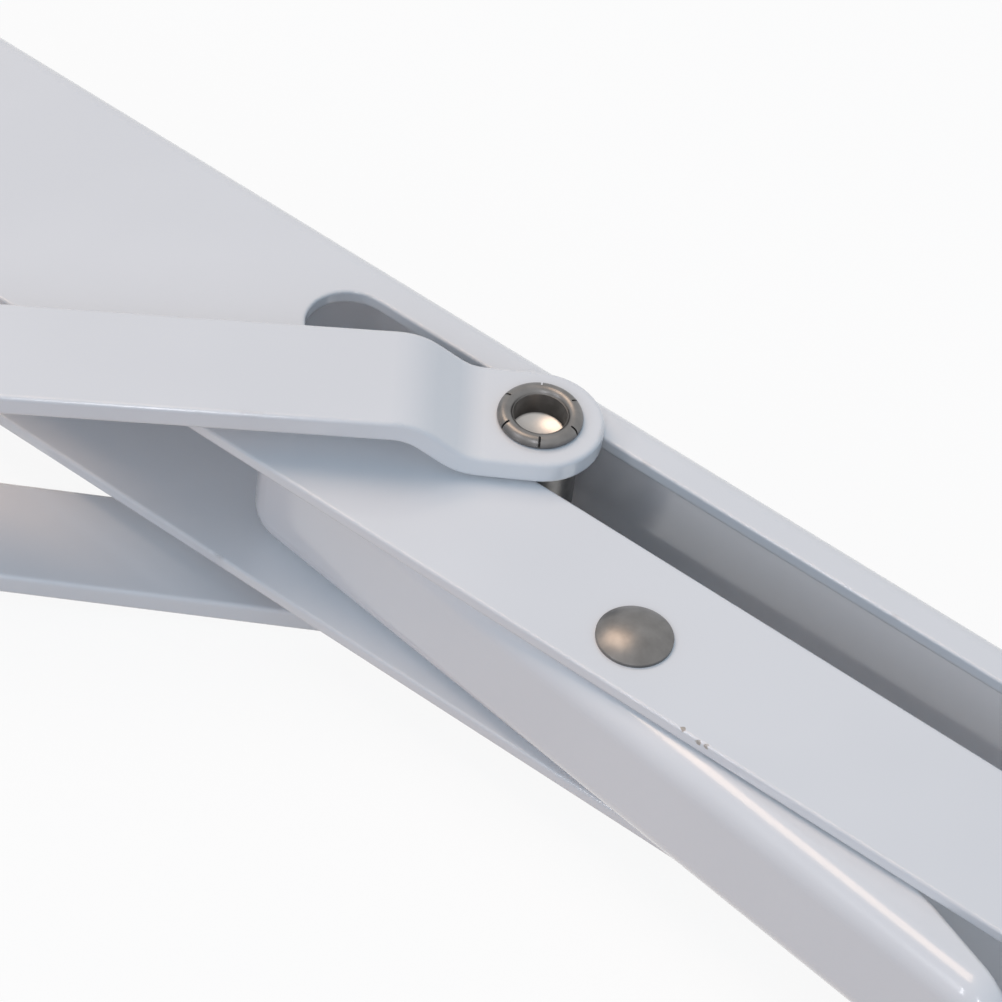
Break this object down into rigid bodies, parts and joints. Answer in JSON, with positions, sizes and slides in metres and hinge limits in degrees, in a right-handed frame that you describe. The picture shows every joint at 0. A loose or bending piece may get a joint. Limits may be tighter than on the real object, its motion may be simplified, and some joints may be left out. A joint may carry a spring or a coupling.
{
  "type": "drop leaf table bracket",
  "caption": "Folding table bracket: a channel arm hinged to a wall plate, a two-bar strut with a pin sliding in the arm's slots, and a sprung release lever under the arm.",
  "frame": {"origin": "on the wall plate's back face, level with the hinge axis, in the middle of the width", "axes": "+X out from the wall along the opened arm, +Y towards the table top, +Z across the width to the left side; the bracket lies on its right side"},
  "size_m": [0.213, 0.1003, 0.0314],
  "materials": {
    "white_enamel": "white powder coat, semi-gloss",
    "plated_steel": "dark nickel plating, polished",
    "oiled_steel": "drawn and oiled steel"
  },
  "bodies": {
    "wall_plate": {"wall_plate": "white_enamel", "hinge_rivet": "plated_steel", "strut_rivet_tail_left": "plated_steel", "strut_rivet_tail_right": "plated_steel"},
    "arm": {"arm_channel": "white_enamel", "hinge_spacer": "oiled_steel", "lever_rivet": "plated_steel", "lever_spring": "oiled_steel"},
    "slider": {"slide_pin": "plated_steel", "slide_sleeve": "oiled_steel"},
    "strut": {"strut_bar_left": "white_enamel", "strut_bar_right": "white_enamel", "strut_rivet_left": "plated_steel", "strut_rivet_right": "plated_steel"},
    "lever": {"release_lever": "white_enamel"}
  },
  "joints": [
    {"name": "arm_fold", "type": "hinge", "parent": "wall_plate", "child": "arm", "pos_m": [0.023, 0, 0], "axis": [0, 0, -1], "range_deg": [0, 90]},
    {"name": "pin_slide", "type": "slide", "parent": "arm", "child": "slider", "axis": [1, 0, 0], "range_m": [0, 0.0772]},
    {"name": "strut_turn", "type": "hinge", "parent": "slider", "child": "strut", "pos_m": [0.10758, 0, 0], "axis": [0, 0, -1], "range_deg": [0, 34.8]},
    {"name": "lever_swing", "type": "hinge", "parent": "arm", "child": "lever", "pos_m": [0.13023, -0.01467, 0], "axis": [0, 0, -1], "range_deg": [-4, 8], "stiffness_Nm_per_rad": 0.05, "deforming": ["lever_spring"]}
  ],
  "couplings": [
    {"joint": "pin_slide", "follows": "arm_fold", "m_per_rad": 0.04915},
    {"joint": "strut_turn", "follows": "arm_fold", "ratio": 0.38667}
  ]
}
